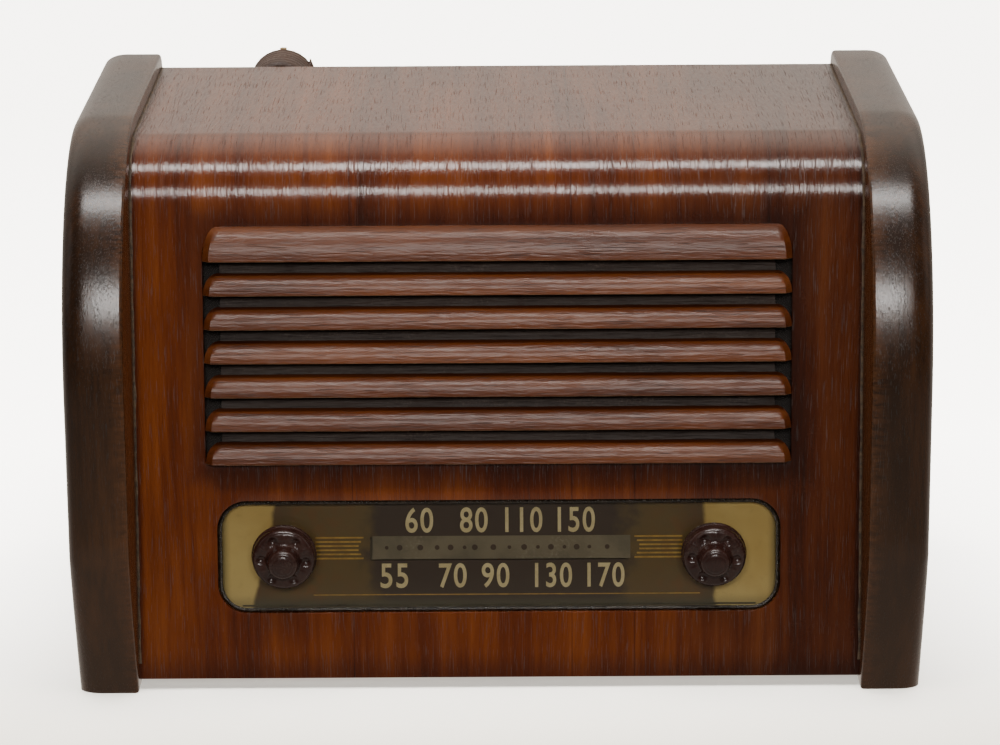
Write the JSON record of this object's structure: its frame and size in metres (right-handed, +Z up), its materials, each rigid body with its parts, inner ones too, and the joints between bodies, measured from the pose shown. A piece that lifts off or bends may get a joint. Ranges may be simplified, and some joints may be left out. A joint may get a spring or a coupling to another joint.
{
  "type": "tabletop radio",
  "caption": "Tabletop valve radio with a bent wood front between bowed end caps, a louvred loudspeaker grille and a wide glazed dial with two turning knobs.",
  "frame": {"origin": "centre of the underside, on the table under the middle of the cabinet", "axes": "+X to the right seen from the front, +Y to the back, +Z up"},
  "size_m": [0.33, 0.2592, 0.2177],
  "materials": {
    "veneer": "lacquered walnut veneer",
    "cap_wood": "dark stained solid wood, satin lacquer",
    "louver_wood": "worn lacquer",
    "raw_wood": "bare plywood",
    "cloth": "dark woven cloth",
    "steel": "plated steel",
    "aluminium": "plain aluminium",
    "brass": "aged brass",
    "paper": "treated paper",
    "glass": "clear",
    "dial_print": "printed sheet metal",
    "reflector_paint": "matt paint",
    "pointer_paint": "red-brown paint",
    "bakelite": "moulded bakelite",
    "string": "waxed cord",
    "fibreboard": "pressed fibreboard",
    "cord_rubber": "brown rubber"
  },
  "bodies": {
    "cabinet": {"cabinet_wrap": "veneer", "left_end_cap": "cap_wood", "right_end_cap": "cap_wood", "bottom_board": "raw_wood", "glue_blocks": "raw_wood", "side_cleats": "raw_wood", "louver_1": "louver_wood", "louver_2": "louver_wood", "louver_3": "louver_wood", "louver_4": "louver_wood", "louver_5": "louver_wood", "louver_6": "louver_wood", "louver_7": "louver_wood", "grille_cloth": "cloth", "speaker_baffle": "raw_wood", "speaker_basket": "steel", "speaker_cone": "paper", "speaker_magnet": "steel", "speaker_screws": "brass", "dial_glass": "glass", "dial_face": "dial_print", "dial_clips": "steel", "scale_reflector": "reflector_paint", "pointer_rail": "steel", "dial_cord": "string", "idler_pins": "steel", "gang_frame": "steel", "gang_stator": "aluminium", "tuning_bush": "brass", "volume_control": "steel", "chassis": "steel", "chassis_bolts": "steel", "valve_sockets": "bakelite", "valve_1": "glass", "valve_2": "glass", "valve_3": "glass", "valve_4": "glass", "valve_5": "glass", "coil_cans": "aluminium", "filter_capacitor": "aluminium", "output_transformer": "steel", "pilot_lamp": "brass", "rear_cover": "fibreboard", "loop_aerial": "fibreboard", "cover_screws": "brass", "cord_hook": "brass", "cord_grommet": "cord_rubber", "power_cord_lead": "cord_rubber", "power_cord_hank": "cord_rubber", "power_cord_tail": "cord_rubber", "power_plug": "cord_rubber"},
    "tuning_control": {"tuning_knob": "bakelite", "tuning_shaft": "steel"},
    "volume_knob_set": {"volume_knob": "bakelite", "volume_shaft": "steel"},
    "tuning_rotor": {"gang_rotor": "aluminium", "dial_drum": "aluminium"},
    "pointer": {"dial_pointer": "pointer_paint"},
    "left_pulley": {"left_idler": "bakelite"},
    "right_pulley": {"right_idler": "bakelite"}
  },
  "joints": [
    {"name": "tuning_turn", "type": "hinge", "parent": "cabinet", "child": "tuning_control", "pos_m": [0.0837, 0, 0.0545], "axis": [0, 1, 0], "range_deg": [-688, 688]},
    {"name": "volume_turn", "type": "hinge", "parent": "cabinet", "child": "volume_knob_set", "pos_m": [-0.0837, 0, 0.0545], "axis": [0, 1, 0], "range_deg": [-150, 150]},
    {"name": "rotor_turn", "type": "hinge", "parent": "cabinet", "child": "tuning_rotor", "pos_m": [0.092, 0, 0.1027], "axis": [0, 1, 0], "range_deg": [-90, 90]},
    {"name": "pointer_slide", "type": "slide", "parent": "cabinet", "child": "pointer", "axis": [1, 0, 0], "range_m": [-0.0466, 0.0466]},
    {"name": "left_pulley_turn", "type": "hinge", "parent": "cabinet", "child": "left_pulley", "pos_m": [-0.062, 0, 0.0617], "axis": [0, 1, 0], "range_deg": [-540, 540]},
    {"name": "right_pulley_turn", "type": "hinge", "parent": "cabinet", "child": "right_pulley", "pos_m": [0.0574, 0, 0.0717], "axis": [0, 1, 0], "range_deg": [-540, 540]}
  ],
  "couplings": [
    {"joint": "rotor_turn", "follows": "tuning_turn", "ratio": 0.13074},
    {"joint": "pointer_slide", "follows": "tuning_turn", "m_per_rad": 0.00387},
    {"joint": "left_pulley_turn", "follows": "tuning_turn", "ratio": 0.774},
    {"joint": "right_pulley_turn", "follows": "tuning_turn", "ratio": -0.774}
  ]
}
